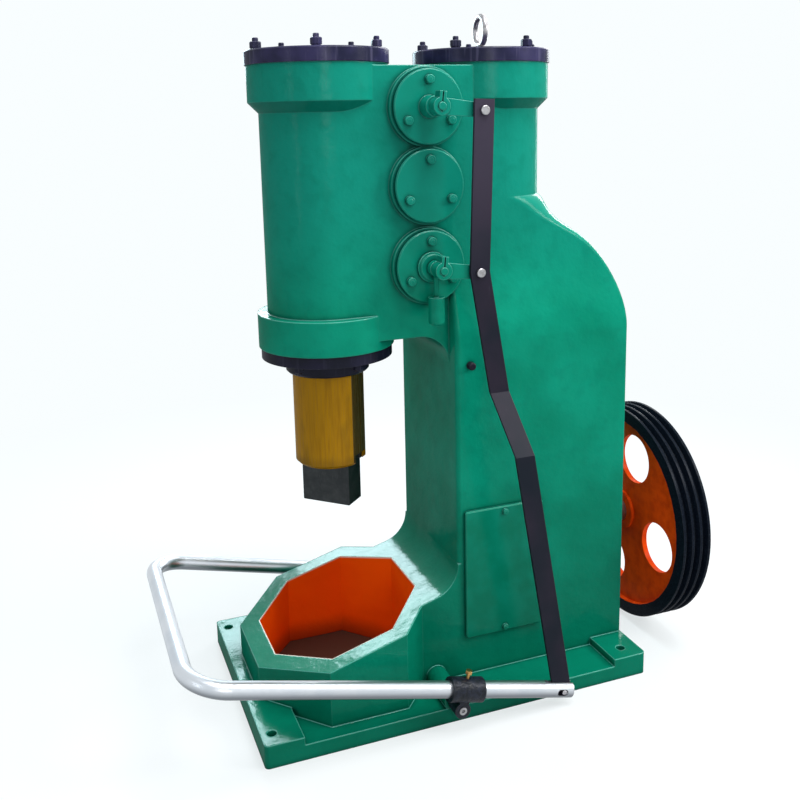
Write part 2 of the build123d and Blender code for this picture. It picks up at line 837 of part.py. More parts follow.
# Peg on the column side behind the link bar
with BuildPart() as side_peg:
    with BuildSketch(Plane.XZ.offset(half_housing)):
        with Locations((side_peg_x, side_peg_z)):
            Circle(side_peg_radius)
    extrude(amount=side_peg_length)
    fillet(side_peg.edges().group_by(Axis.Y)[0], side_peg_radius / 2)
finish(side_peg, "side_peg")

# Treadle: one bent tube round the front of the base
leg_end = link_pin_reach + tube_end_beyond_pin
with BuildPart() as treadle_tube:
    with BuildLine(treadle_plane) as tube_path:
        FilletPolyline(
            (leg_end, -treadle_half_width),
            (-treadle_front_reach, -treadle_half_width),
            (-treadle_front_reach, treadle_half_width),
            (leg_end, treadle_half_width),
            radius=treadle_bend_radius,
        )
    with BuildSketch(Plane(origin=tube_path.line @ 0, z_dir=tube_path.line % 0)):
        Circle(tube_radius)
        Circle(tube_radius - tube_wall, mode=Mode.SUBTRACT)
    sweep(path=tube_path.line)
    with BuildSketch(treadle_plane.offset(-2 * tube_radius)):
        with Locations((leg_end - (tube_slot_length - cut_margin) / 2, -treadle_half_width)):
            Rectangle(tube_slot_length + cut_margin, bar_thickness + 2 * tube_slot_clearance)
    extrude(amount=4 * tube_radius, mode=Mode.SUBTRACT)
    with BuildSketch(
        Plane(
            origin=(tube_start[0], -treadle_half_width, tube_start[1]),
            x_dir=treadle_plane.x_dir,
            z_dir=(0, -1, 0),
        )
    ):
        with Locations((link_pin_reach - link_slot_travel / 2, 0)):
            SlotCenterToCenter(link_slot_travel, 2 * (link_pin_radius + link_slot_clearance))
    extrude(amount=2 * tube_radius, both=True, mode=Mode.SUBTRACT)
finish(treadle_tube, "treadle_tube")


def treadle_clamp(side):
    """Clamp sleeve on the tube with an eye below it for the pivot pin."""
    clamp_plane = Plane(
        origin=(treadle_pivot_x, side * clamp_start, treadle_pivot_z),
        x_dir=(cos(treadle_turn), 0, -sin(treadle_turn)),
        z_dir=(0, -1, 0),
    )
    sleeve_centre = treadle_plane.from_local_coords((0, side * treadle_half_width, 0))
    sleeve_plane = Plane(origin=sleeve_centre, z_dir=treadle_plane.x_dir)
    outward = -side
    with BuildPart() as clamp:
        with BuildSketch(clamp_plane):
            Circle(clamp_eye_radius)
            with Locations((0, pivot_to_tube / 2)):
                Rectangle(clamp_neck_width, pivot_to_tube)
        extrude(amount=outward * clamp_eye_length)
        with BuildSketch(sleeve_plane):
            Circle(clamp_sleeve_radius)
        extrude(amount=clamp_sleeve_length / 2, both=True)
        with BuildSketch(sleeve_plane):
            Circle(tube_radius + seat_clearance)
        extrude(amount=clamp_sleeve_length, both=True, mode=Mode.SUBTRACT)
        with BuildSketch(clamp_plane):
            Circle(pivot_pin_radius + pivot_clearance)
        extrude(amount=outward * clamp_eye_length, mode=Mode.SUBTRACT)
        with BuildSketch(thumb_plane(side)):
            Circle(thumb_stem_radius + seat_clearance)
        extrude(amount=2 * clamp_sleeve_radius, mode=Mode.SUBTRACT)
    return clamp


def thumb_plane(side):
    """Plane square to the tube at the crown of a clamp's sleeve."""
    return Plane(
        origin=treadle_plane.from_local_coords((0, side * treadle_half_width, 0)),
        x_dir=treadle_plane.x_dir,
        z_dir=treadle_plane.z_dir,
    )


def thumb_bolt(side):
    """Brass bolt that bears on the tube through the clamp's crown."""
    with BuildPart() as bolt:
        with BuildSketch(thumb_plane(side).offset(tube_radius + seat_clearance)):
            Circle(thumb_stem_radius)
        extrude(amount=clamp_sleeve_radius - tube_radius + thumb_rise)
        with BuildSketch(thumb_plane(side).offset(clamp_sleeve_radius + thumb_rise)):
            RegularPolygon(thumb_head_radius, 6)
        extrude(amount=thumb_head_height)
    return bolt


def pivot_pin(side):
    """Shoulder screw that the treadle turns on, its socket showing in the clamp's eye."""
    pin_end = clamp_start + clamp_eye_length + pivot_pin_proud
    start = pivot_boss_end - pivot_pin_inside + end_clearance
    with BuildPart() as pin:
        with BuildSketch(Plane.XZ.offset(-side * start)):
            with Locations((treadle_pivot_x, treadle_pivot_z)):
                Circle(pivot_pin_radius)
        extrude(amount=-side * (pin_end - start))
        with BuildSketch(Plane.XZ.offset(-side * pin_end)):
            with Locations((treadle_pivot_x, treadle_pivot_z)):
                RegularPolygon(pivot_socket_radius, 6)
        extrude(amount=side * pivot_socket_depth, mode=Mode.SUBTRACT)
    return pin


for side_name, side in (("near", -1), ("far", 1)):
    finish(treadle_clamp(side), f"{side_name}_treadle_clamp")
    finish(thumb_bolt(side), f"{side_name}_thumb_bolt")
    finish(pivot_pin(side), f"{side_name}_pivot_pin")

# Inspection cover on the side of the crank housing
with BuildPart() as hatch:
    with BuildSketch(Plane.XZ.offset(half_housing)):
        with Locations((hatch_x + hatch_width / 2, hatch_z + hatch_height / 2)):
            RectangleRounded(hatch_width, hatch_height, hatch_corner)
    extrude(amount=hatch_thickness)
    chamfer(hatch.edges().group_by(Axis.Y)[0], small_edge)
finish(hatch, "inspection_cover")

# Bearing housing on the rear wall
with BuildPart() as bearing:
    with BuildSketch(Plane.YZ.offset(rear_face)):
        with Locations((0, shaft_z)):
            Circle(bearing_flange_radius)
    extrude(amount=bearing_flange)
    with BuildSketch(Plane.YZ.offset(rear_face + bearing_flange)):
        with Locations((0, shaft_z)):
            Circle(bearing_boss_radius)
    extrude(amount=bearing_boss)
    chamfer(bearing.edges().group_by(Axis.X)[-1], bearing_edge)
    with BuildSketch(Plane.YZ.offset(rear_face)):
        with Locations((0, shaft_z)):
            Circle(shaft_radius + shaft_clearance)
    extrude(amount=bearing_flange + bearing_boss, mode=Mode.SUBTRACT)
finish(bearing, "rear_bearing_housing")

# Crankshaft end that carries the pulley
pulley_front = rear_face + pulley_gap
pulley_back = pulley_front + pulley_width
hub_front = pulley_front + hub_front_setback
shaft_start = rear_face - shaft_inside + end_clearance
with BuildPart() as shaft:
    with BuildSketch(Plane.YZ.offset(shaft_start)):
        with Locations((0, shaft_z)):
            Circle(shaft_radius)
    extrude(amount=pulley_back + shaft_end_proud - shaft_start)
    chamfer(shaft.edges().group_by(Axis.X)[-1], small_edge)
    with BuildSketch(Plane.XY.offset(shaft_z + shaft_radius - key_height)):
        with Locations((pulley_back - key_length / 2, 0)):
            Rectangle(key_length, key_width + 2 * seat_clearance)
    extrude(amount=2 * key_height, mode=Mode.SUBTRACT)
finish(shaft, "crankshaft")

with BuildPart() as pulley_key:
    with BuildSketch(Plane.XY.offset(shaft_z + shaft_radius - key_height + seat_clearance)):
        with Locations((pulley_back - key_length / 2, 0)):
            Rectangle(key_length - 2 * seat_clearance, key_width)
    extrude(amount=2 * key_height - seat_clearance)
finish(pulley_key, "pulley_key")

# Belt pulley: grooved rim, web with round holes, keyed hub
web_front = pulley_front + web_setback
groove_middle = (pulley_front + pulley_back) / 2
with BuildPart() as pulley:
    with BuildSketch(Plane.XZ):
        with BuildLine():
            Polyline(
                (hub_front, shaft_z),
                (hub_front, shaft_z + hub_boss_radius),
                (web_front, shaft_z + hub_boss_radius),
                (web_front, shaft_z + pulley_radius - rim_thickness),
                (pulley_front, shaft_z + pulley_radius - rim_thickness),
                (pulley_front, shaft_z + pulley_radius),
                (pulley_back, shaft_z + pulley_radius),
                (pulley_back, shaft_z + pulley_radius - rim_thickness),
                (web_front + web_thickness, shaft_z + pulley_radius - rim_thickness),
                (web_front + web_thickness, shaft_z + hub_boss_radius),
                (pulley_back, shaft_z + hub_boss_radius),
                (pulley_back, shaft_z),
                close=True,
            )
        make_face()
        for groove in range(groove_count):
            groove_x = groove_middle + (groove - (groove_count - 1) / 2) * groove_pitch
            with BuildLine():
                Polyline(
                    (groove_x - groove_top / 2, shaft_z + pulley_radius),
                    (groove_x - groove_floor / 2, shaft_z + pulley_radius - groove_depth),
                    (groove_x + groove_floor / 2, shaft_z + pulley_radius - groove_depth),
                    (groove_x + groove_top / 2, shaft_z + pulley_radius),
                    close=True,
                )
            make_face(mode=Mode.SUBTRACT)
    revolve(axis=Axis((0, 0, shaft_z), (1, 0, 0)))
    with BuildSketch(Plane.YZ.offset(hub_front)):
        with Locations((0, shaft_z)):
            Circle(shaft_radius + seat_clearance)
            with PolarLocations(hole_circle, hole_count, start_angle=hole_turn):
                Circle(hole_radius)
    extrude(amount=pulley_back - hub_front, mode=Mode.SUBTRACT)
    with BuildSketch(Plane.YZ.offset(hub_front)):
        with Locations((0, shaft_z + shaft_radius)):
            Rectangle(key_width + 2 * seat_clearance, 2 * (key_height + seat_clearance))
    extrude(amount=pulley_back - hub_front, mode=Mode.SUBTRACT)
finish(pulley, "drive_pulley")

# Washer and nut on the shaft end
with BuildPart() as washer:
    with BuildSketch(Plane.YZ.offset(pulley_back)):
        with Locations((0, shaft_z)):
            Circle(washer_radius)
            Circle(shaft_radius + seat_clearance, mode=Mode.SUBTRACT)
    extrude(amount=washer_thickness)
finish(washer, "pulley_washer")

with BuildPart() as nut:
    with BuildSketch(Plane.YZ.offset(pulley_back + washer_thickness)):
        with Locations((0, shaft_z)):
            RegularPolygon(nut_radius, 6)
            Circle(shaft_radius + seat_clearance, mode=Mode.SUBTRACT)
    extrude(amount=nut_height)
finish(nut, "pulley_nut")
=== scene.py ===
"""Looks of a pneumatic forging hammer: paints and bare metals, fasteners, floor, lamps and camera."""
import json
from math import cos, pi, radians, sin

import bpy
from mathutils import Matrix, Vector

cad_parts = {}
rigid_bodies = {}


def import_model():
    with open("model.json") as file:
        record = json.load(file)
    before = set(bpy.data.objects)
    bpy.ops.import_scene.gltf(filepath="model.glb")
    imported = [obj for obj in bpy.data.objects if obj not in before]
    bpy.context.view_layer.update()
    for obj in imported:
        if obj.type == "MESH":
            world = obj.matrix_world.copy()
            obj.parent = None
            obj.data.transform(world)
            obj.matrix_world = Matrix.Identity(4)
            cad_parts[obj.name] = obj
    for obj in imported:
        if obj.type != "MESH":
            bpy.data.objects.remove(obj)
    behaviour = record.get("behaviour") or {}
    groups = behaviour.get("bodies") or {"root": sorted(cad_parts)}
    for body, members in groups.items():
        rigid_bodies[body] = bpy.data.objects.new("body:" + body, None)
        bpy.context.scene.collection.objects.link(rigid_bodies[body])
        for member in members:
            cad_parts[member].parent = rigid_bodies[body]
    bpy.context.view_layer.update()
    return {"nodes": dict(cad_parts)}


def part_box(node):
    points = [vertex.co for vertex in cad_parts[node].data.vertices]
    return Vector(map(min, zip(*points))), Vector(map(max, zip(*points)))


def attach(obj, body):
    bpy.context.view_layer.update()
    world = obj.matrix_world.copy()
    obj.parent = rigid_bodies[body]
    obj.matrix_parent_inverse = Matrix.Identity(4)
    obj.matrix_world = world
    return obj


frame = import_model()
nodes = frame["nodes"]


# Shader arithmetic
class Wire:
    """A shader value that can be added, multiplied and compared like a number."""

    def __init__(self, finish, socket):
        self.finish = finish
        self.socket = socket

    def work(self, operation, first, second=0.0):
        return self.finish.node("ShaderNodeMath", {"operation": operation}, {0: first, 1: second})

    def __add__(self, other):
        return self.work("ADD", self, other)

    def __sub__(self, other):
        return self.work("SUBTRACT", self, other)

    def __rsub__(self, other):
        return self.work("SUBTRACT", other, self)

    def __mul__(self, other):
        return self.work("MULTIPLY", self, other)

    def __pow__(self, other):
        return self.work("POWER", self, other)

    def __abs__(self):
        return self.work("ABSOLUTE", self)

    def most(self, other):
        return self.work("MAXIMUM", self, other)

    def least(self, other):
        return self.work("MINIMUM", self, other)

    def ramp(self, low, high):
        """0 below low, 1 above high, smooth between; low may be the higher one."""
        return self.finish.node(
            "ShaderNodeMapRange",
            {"interpolation_type": "SMOOTHSTEP"},
            {"Value": self, "From Min": low, "From Max": high},
        )

    __radd__ = __add__
    __rmul__ = __mul__


class Finish:
    """One material, its nodes made one at a time."""

    def __init__(self, name):
        self.material = bpy.data.materials.new(name)
        self.material.use_nodes = True
        self.tree = self.material.node_tree
        self.tree.nodes.clear()
        self.place = self.node("ShaderNodeTexCoord", out="Object")
        self.x, self.y, self.z = (
            self.node("ShaderNodeSeparateXYZ", inputs={0: self.place}, out=axis) for axis in "XYZ"
        )

    def node(self, kind, settings=(), inputs=(), out=0):
        made = self.tree.nodes.new(kind)
        for key, value in dict(settings).items():
            setattr(made, key, value)
        for key, value in dict(inputs).items():
            if isinstance(value, Wire):
                self.tree.links.new(value.socket, made.inputs[key])
            elif isinstance(value, tuple) and len(value) == 3 and made.inputs[key].type == "RGBA":
                made.inputs[key].default_value = (*value, 1)
            else:
                made.inputs[key].default_value = value
        return Wire(self, made.outputs[out])

    def blend(self, share, first, second):
        """Colour between first and second."""
        return self.node("ShaderNodeMix", {"data_type": "RGBA"}, {0: share, 6: first, 7: second}, 2)

    def stretch(self, x, y, z):
        """The place on the piece, scaled along each axis."""
        return self.node("ShaderNodeVectorMath", {"operation": "MULTIPLY"}, {0: self.place, 1: (x, y, z)})

    def noise(self, size, detail=2.0, rough=0.5, along=None, shift=0.0):
        """Soft noise about 0.5, its lumps about size metres across."""
        spot = along or self.place
        if shift:
            aside = (shift, shift, shift)
            spot = self.node("ShaderNodeVectorMath", {"operation": "ADD"}, {0: spot, 1: aside})
        return self.node(
            "ShaderNodeTexNoise",
            inputs={"Vector": spot, "Scale": 1 / size, "Detail": detail, "Roughness": rough},
            out="Fac",
        )

    def soften(self, radius):
        """Normal that rounds the edges of a piece by radius."""
        return self.node("ShaderNodeBevel", {"samples": 8}, {"Radius": radius})

    def edge(self, soft):
        """1 along the edges that a softened normal rounds, 0 on open faces."""
        plain = self.node("ShaderNodeNewGeometry", out="Normal")
        both = {0: soft, 1: plain}
        alike = self.node("ShaderNodeVectorMath", {"operation": "DOT_PRODUCT"}, both, "Value")
        return (1 - alike).ramp(0.006, 0.08)

    def tilt(self, facing, axis="Z"):
        """How far a direction points along an axis, up unless another is named."""
        return self.node("ShaderNodeSeparateXYZ", inputs={0: facing}, out=axis)

    def upward(self, low, high):
        """1 where a face looks up, 0 where it stands upright or looks down."""
        return self.tilt(self.node("ShaderNodeTexCoord", out="Normal")).ramp(low, high)

    def bump(self, height, normal=None):
        """Normal of a surface raised by height metres."""
        inputs = {"Height": height, "Distance": 1.0, "Strength": 1.0}
        if normal:
            inputs["Normal"] = normal
        return self.node("ShaderNodeBump", inputs=inputs)

    def surface(self, **sockets):
        """Principled surface that ends the material."""
        names = {key.replace("_", " ").title(): value for key, value in sockets.items()}
        shader = self.node("ShaderNodeBsdfPrincipled", inputs=names, out="BSDF")
        self.node_out(shader)
        return self.material

    def enamel(self, colour, shine, roughness, normal, **sockets):
        """Paint that is dull below and shines above as strongly as shine says."""
        dull = self.node("ShaderNodeBsdfPrincipled", inputs={
            "Base Color": colour, "Roughness": 0.7, "IOR": 1.0, "Normal": normal,
        }, out="BSDF")
        names = {key.replace("_", " ").title(): value for key, value in sockets.items()}
        glossy = self.node("ShaderNodeBsdfPrincipled", inputs={
            "Base Color": colour, "Roughness": roughness, "IOR": 1.5, "Normal": normal, **names,
        }, out="BSDF")
        self.node_out(self.node("ShaderNodeMixShader", inputs={0: shine, 1: dull, 2: glossy}, out="Shader"))
        return self.material

    def crevice(self, reach):
        """Mask for painted shade: 1 in narrow corners up to reach metres wide, 0 on open faces."""
        open_share = self.node("ShaderNodeAmbientOcclusion", {"samples": 6}, {"Distance": reach}, "AO")
        return open_share.ramp(0.93, 0.45)

    def node_out(self, shader):
        end = self.tree.nodes.new("ShaderNodeOutputMaterial")
        self.tree.links.new(shader.socket, end.inputs["Surface"])


# Places taken from the model
def middle(node):
    low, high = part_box(node)
    return (low + high) / 2


ram_x = middle("front_cylinder_lid").x
compression_x = middle("rear_cylinder_lid").x
lid_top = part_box("front_cylinder_lid")[1].z
pulley_centre = middle("drive_pulley")
pulley_radius = (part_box("drive_pulley")[1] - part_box("drive_pulley")[0]).z / 2
# inside of the eight-sided well: half sizes, and half a flat over half the size
WELL_HALF_X, WELL_HALF_Y, OCTAGON = 0.174, 0.200, 0.41421
# height of the well's sloping rim at the ram, and its rise per metre to the rear
RIM_LEVEL, RIM_SLOPE = 0.193, 0.285
COVER_FACE = -0.161
# heights between which the paint turns bluer above, and heights over which painted shade darkens it below
BLUER = 0.85, 1.25
PAINTED_SHADE_HEIGHTS = 0.72, 0.08


# Paints and metals
def green_paint():
    paint = Finish("green casting enamel")
    broad = paint.noise(0.16, 2.0, 0.5)
    lumps = paint.noise(0.034, 2.0, 0.55, shift=3.1)
    grain = paint.noise(0.0075, 2.0, 0.6, shift=7.7)
    soft = paint.soften(0.005)
    edge = paint.edge(soft)
    up = paint.upward(0.2, 0.8)
    # inside the anvil well the casting is painted orange, the edge brushed by hand
    off_x = abs(paint.x - ram_x)
    off_y = abs(paint.y)
    slope = WELL_HALF_X / WELL_HALF_Y
    corner = (off_x + off_y * slope) - (WELL_HALF_X + WELL_HALF_Y * OCTAGON * slope)
    inside = (off_x - WELL_HALF_X).most(off_y - WELL_HALF_Y).most(corner)
    rim = RIM_LEVEL + RIM_SLOPE * (paint.x - ram_x)
    brushed = (paint.noise(0.02, 2.0) - 0.5) * 0.006
    well = inside.ramp(0.0016, 0.0008) * (paint.z - rim + brushed).ramp(0.004, 0.001)
    # mask for a painted highlight along the inner edge of the rim
    rim_edge_glint = abs(inside).ramp(0.0028, 0.0008) * abs(paint.z - rim).ramp(0.005, 0.001)
    shade = paint.blend(broad.ramp(0.3, 0.72), (0.0012, 0.215, 0.128), (0.003, 0.275, 0.172))
    shade = paint.blend(paint.z.ramp(*BLUER) * 0.8, shade, (0.006, 0.250, 0.185))
    shade = paint.blend(lumps.ramp(0.45, 0.78) * 0.35, shade, (0.001, 0.165, 0.108))
    # painted shade: the paint darkens towards the bottom, where less light falls
    low = (paint.z + (broad - 0.5) * 0.2).ramp(*PAINTED_SHADE_HEIGHTS) * 0.62
    shade = paint.blend(low, shade, (0.0008, 0.125, 0.072))
    # painted shade on faces that look down, such as under the collars
    downward_face_shade = paint.upward(-0.2, -0.7)
    shade = paint.blend(downward_face_shade * 0.6, shade, (0.0008, 0.080, 0.055))
    # painted shade: the casting is darkened in narrow corners
    shade = paint.blend(paint.crevice(0.014) * 0.75, shade, (0.0006, 0.045, 0.030))
    # painted highlight: edges are painted paler, top edges most of all
    crest_highlight = edge * paint.tilt(soft).ramp(0.1, 0.6)
    shade = paint.blend(edge * 0.1 + crest_highlight * 0.4, shade, (0.14, 0.60, 0.50))
    orange = paint.blend(broad.ramp(0.35, 0.7), (0.98, 0.105, 0.002), (0.93, 0.085, 0.002))
    # the orange is painted darker towards the bottom of the well
    well_foot_darkening = paint.z.ramp(0.06, 0.0) * 0.7
    orange = paint.blend(well_foot_darkening, orange, (0.22, 0.030, 0.008))
    colour = paint.blend(well, shade, orange)
    # painted highlight: a pale line along the well's inner rim edge
    colour = paint.blend(rim_edge_glint * 0.8, colour, (0.80, 0.78, 0.66))
    height = broad * 0.0046 + lumps * 0.0013 + grain * 0.00030
    # brush marks dull the rim where it runs up to the column
    rim_heights = paint.z.ramp(0.15, 0.2) * paint.z.ramp(0.45, 0.4)
    at_column = (paint.x + brushed * 3).ramp(-0.025, 0.025) * rim_heights
    shine = 0.11 + up * (1 - at_column * 0.8) * 0.40 + edge * 0.08 + crest_highlight * 0.45
    shine = shine.least(0.9) * (1 - well)
    return paint.enamel(colour, shine, 0.13 + lumps * 0.1, paint.bump(height, soft))


def valve_paint():
    paint = Finish("green part enamel")
    broad = paint.noise(0.05, 2.0, 0.5)
    grain = paint.noise(0.006, 2.0, 0.6, shift=2.3)
    soft = paint.soften(0.0025)
    edge = paint.edge(soft)
    shade = paint.blend(broad.ramp(0.3, 0.75), (0.0012, 0.205, 0.122), (0.004, 0.26, 0.168))
    shade = paint.blend(paint.z.ramp(*BLUER) * 0.7, shade, (0.006, 0.235, 0.175))
    shade = paint.blend(grain.ramp(0.6, 0.8) * 0.3, shade, (0.001, 0.14, 0.090))
    # painted shade: the paint darkens towards the bottom, where less light falls
    low = (paint.z + (broad - 0.5) * 0.1).ramp(*PAINTED_SHADE_HEIGHTS) * 0.62
    shade = paint.blend(low, shade, (0.0008, 0.115, 0.066))
    facing = paint.node("ShaderNodeTexCoord", out="Normal")
    # painted shade: the side walls of the covers, behind their faces, are painted dark
    behind_face = paint.y.ramp(COVER_FACE - 0.0015, COVER_FACE + 0.001)
    cover_side_shade = abs(paint.tilt(facing, "Y")).ramp(0.8, 0.4) * behind_face
    shade = paint.blend(cover_side_shade * 0.75, shade, (0.0006, 0.055, 0.042))
    # painted shade: the parts are darkened in narrow corners
    shade = paint.blend(paint.crevice(0.010) * 0.85, shade, (0.0006, 0.030, 0.022))
    # painted highlight: edges are painted paler, top edges most of all
    crest_highlight = edge * paint.tilt(soft).ramp(0.05, 0.5)
    shade = paint.blend(edge * 0.2 + crest_highlight * 0.45, shade, (0.16, 0.62, 0.52))
    shine = (0.14 + paint.upward(0.2, 0.8) * 0.4 + edge * 0.15 + crest_highlight * 0.5).least(0.9)
    normal = paint.bump(broad * 0.0008 + grain * 0.00016, soft)
    return paint.enamel(shade, shine, 0.12 + broad * 0.12, normal)


def lid_paint():
    paint = Finish("blue black lid enamel")
    broad = paint.noise(0.06, 2.0, 0.5)
    grain = paint.noise(0.005, 3.0, 0.6, shift=1.7)
    streak = paint.noise(0.011, 2.0, 0.5, along=paint.stretch(1.0, 1.0, 0.08), shift=2.9)
    shade = paint.blend(broad.ramp(0.35, 0.7), (0.014, 0.015, 0.040), (0.034, 0.031, 0.088))
    # painted reflection: light vertical streaks stand in for reflected light on the lids
    shade = paint.blend(streak.ramp(0.55, 0.75) * 0.5, shade, (0.10, 0.095, 0.17))
    shade = paint.blend(grain.ramp(0.62, 0.78) * 0.4, shade, (0.06, 0.055, 0.085))
    gland = paint.z.ramp(1.1, 1.0)
    shade = paint.blend(gland * 0.75, shade, (0.006, 0.007, 0.011))
    soft = paint.soften(0.0018)
    edge = paint.edge(soft)
    shine = 0.22 + edge * 0.4 + paint.upward(0.2, 0.8) * 0.2
    normal = paint.bump(broad * 0.0006 + grain * 0.0001, soft)
    return paint.enamel(shade, shine, 0.14 + grain * 0.2, normal)


def black_enamel():
    paint = Finish("black bar enamel")
    streak = paint.noise(0.004, 3.0, 0.6, along=paint.stretch(1.0, 1.0, 0.06))
    broad = paint.noise(0.12, 2.0, 0.5)
    wear = streak.ramp(0.62, 0.78) * broad.ramp(0.4, 0.7)
    shade = paint.blend(broad.ramp(0.3, 0.7), (0.010, 0.014, 0.022), (0.022, 0.018, 0.030))
    shade = paint.blend(wear * 0.5, shade, (0.06, 0.062, 0.080))
    lit = paint.z.ramp(0.95, 1.35)
    shade = paint.blend(lit * 0.8, shade, (0.055, 0.046, 0.070))
    soft = paint.soften(0.0015)
    shine = 0.16 + paint.upward(0.1, 0.7) * 0.3 + paint.edge(soft) * 0.3
    normal = paint.bump(streak * 0.00006 + broad * 0.0006, soft)
    return paint.enamel(shade, shine, 0.28 + streak * 0.2, normal)


def clamp_casting():
    paint = Finish("black clamp casting")
    sand = paint.noise(0.0022, 3.0, 0.65)
    broad = paint.noise(0.011, 2.0, 0.5, shift=4.0)
    shade = paint.blend(broad.ramp(0.35, 0.7), (0.006, 0.008, 0.013), (0.016, 0.020, 0.034))
    shade = paint.blend(sand.ramp(0.62, 0.8) * 0.5, shade, (0.07, 0.085, 0.12))
    soft = paint.soften(0.002)
    shine = 0.45 + paint.edge(soft) * 0.4
    normal = paint.bump(sand * 0.0004 + broad * 0.0022, soft)
    return paint.enamel(shade, shine, 0.2 + sand * 0.2, normal)


def ram_coat():
    paint = Finish("ochre ram coat")
    streak = paint.noise(0.006, 3.0, 0.6, along=paint.stretch(1.0, 1.0, 0.05))
    stain = paint.noise(0.05, 3.0, 0.55, along=paint.stretch(1.0, 1.0, 0.35), shift=5.2)
    # the ram's flats face along a diagonal
    across = (paint.x - ram_x - paint.y) * 0.70711
    flat = abs(across).ramp(0.0755, 0.0763)
    shade = paint.blend(streak.ramp(0.35, 0.7), (0.41, 0.200, 0.003), (0.31, 0.145, 0.002))
    shade = paint.blend(stain.ramp(0.52, 0.75) * 0.5, shade, (0.16, 0.085, 0.004))
    oily = paint.blend(streak.ramp(0.4, 0.65), (0.045, 0.030, 0.010), (0.020, 0.016, 0.008))
    ends = paint.z.ramp(0.600, 0.575)
    shade = paint.blend(ends * 0.35, shade, (0.08, 0.045, 0.006))
    shine = 0.2 + flat * 0.6
    normal = paint.bump(streak * 0.00008 + stain * 0.0004, paint.soften(0.001))
    return paint.enamel(paint.blend(flat * 0.85, shade, oily), shine, 0.2 + streak * 0.16, normal,
                        metallic=flat * 0.4)


def die_steel():
    paint = Finish("dark die steel")
    grind = paint.noise(0.003, 3.0, 0.6, along=paint.stretch(1.0, 1.0, 0.12))
    stain = paint.noise(0.03, 3.0, 0.6, shift=6.0)
    shade = paint.blend(stain.ramp(0.35, 0.7), (0.012, 0.015, 0.017), (0.028, 0.032, 0.034))
    shade = paint.blend(grind.ramp(0.6, 0.78) * 0.4, shade, (0.09, 0.095, 0.095))
    return paint.surface(
        base_color=shade,
        roughness=0.38 + grind * 0.2,
        metallic=0.55,
        normal=paint.bump(grind * 0.00008, paint.soften(0.002)),
    )


def tube_steel():
    paint = Finish("polished treadle tube")
    along = paint.noise(0.0012, 2.0, 0.6, along=paint.stretch(0.02, 1.0, 1.0))
    across = paint.noise(0.0012, 2.0, 0.6, along=paint.stretch(1.0, 0.02, 1.0), shift=2.0)
    front = abs(paint.y).ramp(0.26, 0.22)
    lines = along * (1 - front) + across * front
    smudge = paint.noise(0.07, 3.0, 0.6, shift=9.0)
    shade = paint.blend(smudge.ramp(0.35, 0.7), (0.64, 0.66, 0.70), (0.57, 0.60, 0.65))
    # painted reflection: the underside is painted darker, standing in for the shaded floor it reflects
    below = paint.upward(0.45, -0.45)
    shade = paint.blend(below, shade, (0.19, 0.20, 0.22))
    return paint.surface(
        base_color=shade,
        roughness=0.27 + lines * 0.12 + smudge.ramp(0.5, 0.8) * 0.05,
        metallic=1.0,
        normal=paint.bump(lines * 0.00001 + smudge * 0.00025),
    )


def bright_steel():
    paint = Finish("machined steel")
    turned = paint.noise(0.0015, 2.0, 0.6)
    stain = paint.noise(0.012, 3.0, 0.6, shift=3.0)
    shade = paint.blend(stain.ramp(0.4, 0.75), (0.42, 0.41, 0.43), (0.24, 0.23, 0.23))
    return paint.surface(
        base_color=shade,
        roughness=0.24 + turned * 0.2,
        metallic=1.0,
        normal=paint.bump(turned * 0.00003, paint.soften(0.0008)),
    )


def brass():
    paint = Finish("turned brass")
    turned = paint.noise(0.002, 3.0, 0.6)
    shade = paint.blend(turned.ramp(0.4, 0.7), (0.58, 0.34, 0.12), (0.36, 0.19, 0.07))
    return paint.surface(
        base_color=shade,
        roughness=0.24 + turned * 0.2,
        metallic=1.0,
        normal=paint.bump(turned * 0.00005, paint.soften(0.0008)),
    )


def pulley_paint():
    paint = Finish("pulley enamel")
    off_y = paint.y - pulley_centre.y
    off_z = paint.z - pulley_centre.z
    radius = (off_y * off_y + off_z * off_z) ** 0.5
    brushed = (paint.noise(0.025, 2.0) - 0.5) * 0.004
    web = (radius + brushed).ramp(pulley_radius - 0.0305, pulley_radius - 0.0318)
    lumps = paint.noise(0.03, 2.0, 0.55)
    grain = paint.noise(0.004, 3.0, 0.6, shift=4.4)
    orange = paint.blend(lumps.ramp(0.3, 0.75), (0.80, 0.076, 0.004), (0.62, 0.048, 0.003))
    black = paint.blend(grain.ramp(0.45, 0.75), (0.004, 0.007, 0.013), (0.012, 0.018, 0.030))
    soft = paint.soften(0.0015)
    edge = paint.edge(soft)
    shine = 0.10 + edge * 0.4 * (1 - web)
    normal = paint.bump(lumps * 0.0005 * web + grain * 0.00006, soft)
    return paint.enamel(paint.blend(web, black, orange), shine, 0.22 + grain * 0.15, normal)


casting_green = green_paint()
part_green = valve_paint()
lid_navy = lid_paint()
bar_black = black_enamel()
clamp_black = clamp_casting()
ochre = ram_coat()
die_dark = die_steel()
tube_bright = tube_steel()
steel = bright_steel()
thumb_brass = brass()
pulley_orange = pulley_paint()

